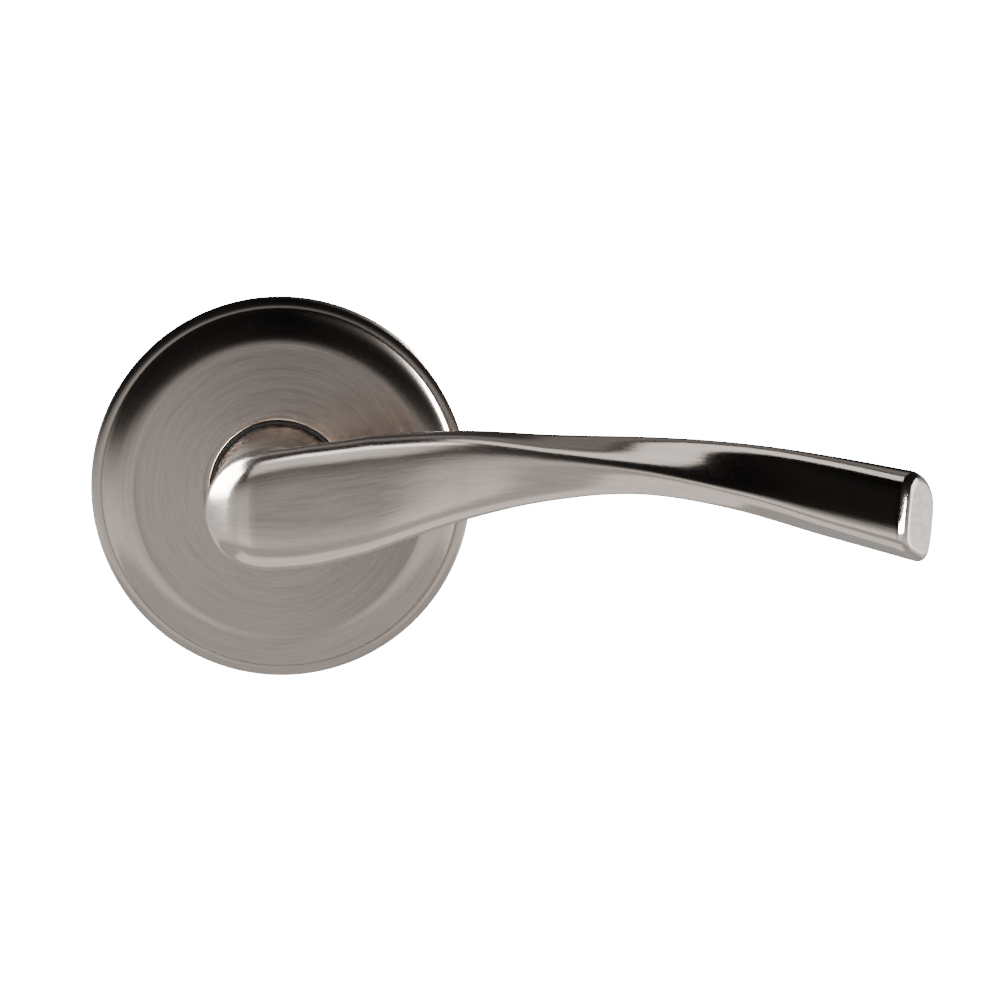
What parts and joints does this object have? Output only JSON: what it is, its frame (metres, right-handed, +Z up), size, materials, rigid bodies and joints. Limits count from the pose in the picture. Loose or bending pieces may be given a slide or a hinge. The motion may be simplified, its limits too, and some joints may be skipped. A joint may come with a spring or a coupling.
{
  "type": "door lever handle",
  "caption": "Door lever handle on a round rose: outside half of a tubular passage set, with spring return, square spindle and through-bolt posts.",
  "frame": {"origin": "where the spindle axis meets the door face", "axes": "+Y along the spindle axis, from the user into the door; +X from the spindle toward the lever's end; +Z up"},
  "size_m": [0.1456, 0.1107, 0.0666],
  "materials": {
    "satin_nickel": "satin nickel plate, brushed and lacquered",
    "zinc_steel": "zinc-plated steel",
    "zinc_casting": "as cast",
    "black_oxide": "black oxide, oiled",
    "spring_steel": "drawn wire",
    "acetal": "moulded",
    "nylon": "moulded, dark"
  },
  "bodies": {
    "rose_body": {"rose_cover": "satin_nickel", "glide_ring": "nylon", "mounting_plate": "zinc_steel", "rose_snap_ring": "spring_steel", "neck_bushing": "acetal", "spring_housing": "zinc_casting", "housing_screws": "zinc_steel", "return_spring": "spring_steel", "spring_cover": "zinc_steel", "cover_screws": "zinc_steel", "post_left": "zinc_steel", "post_right": "zinc_steel"},
    "lever_body": {"lever": "satin_nickel", "set_screw": "black_oxide", "drive_hub": "zinc_steel", "spindle": "zinc_steel", "spindle_pin": "spring_steel", "wave_washer": "spring_steel", "spring_driver": "zinc_steel", "thrust_washer": "zinc_steel", "retaining_ring": "black_oxide"}
  },
  "joints": [
    {"name": "lever_turn", "type": "hinge", "parent": "rose_body", "child": "lever_body", "pos_m": [0, 0, 0], "axis": [0, 1, 0], "range_deg": [-45, 45], "stiffness_Nm_per_rad": 2.5, "springref_deg": -1.72, "deforming": ["return_spring"]}
  ]
}
